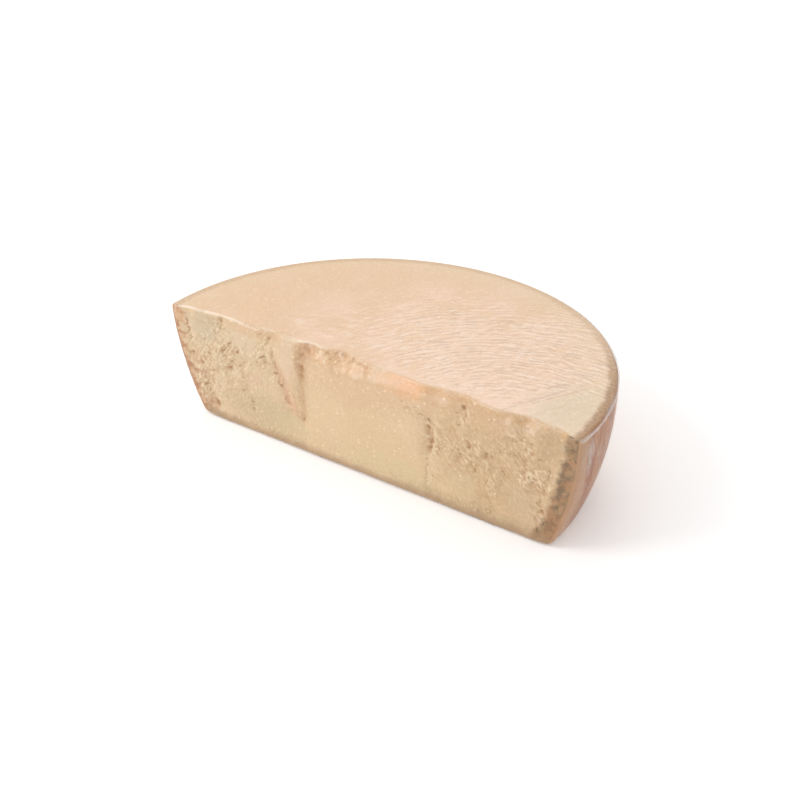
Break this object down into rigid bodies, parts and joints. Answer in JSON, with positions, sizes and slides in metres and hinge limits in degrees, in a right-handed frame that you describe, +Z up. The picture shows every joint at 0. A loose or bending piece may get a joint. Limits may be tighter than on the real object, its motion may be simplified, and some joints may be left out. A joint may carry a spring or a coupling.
{
  "type": "quarter wheel of hard grating cheese in clear film",
  "caption": "Half-moon piece of a hard aged cheese wheel at half the wheel's height, broken cut face, natural rind, sealed in clear film.",
  "frame": {"origin": "middle of the bounding box on the base plane", "axes": "+X along the cut face from left to right, the cut face towards -Y and the round rim towards +Y, +Z up from the base rind to the level cut"},
  "size_m": [0.4428, 0.2394, 0.112],
  "materials": {
    "cheese": "satin, pale straw cheese with a tan rind",
    "film": "clear glossy shrink film"
  },
  "bodies": {
    "root": {"wrapped_cheese": "cheese"}
  },
  "joints": []
}
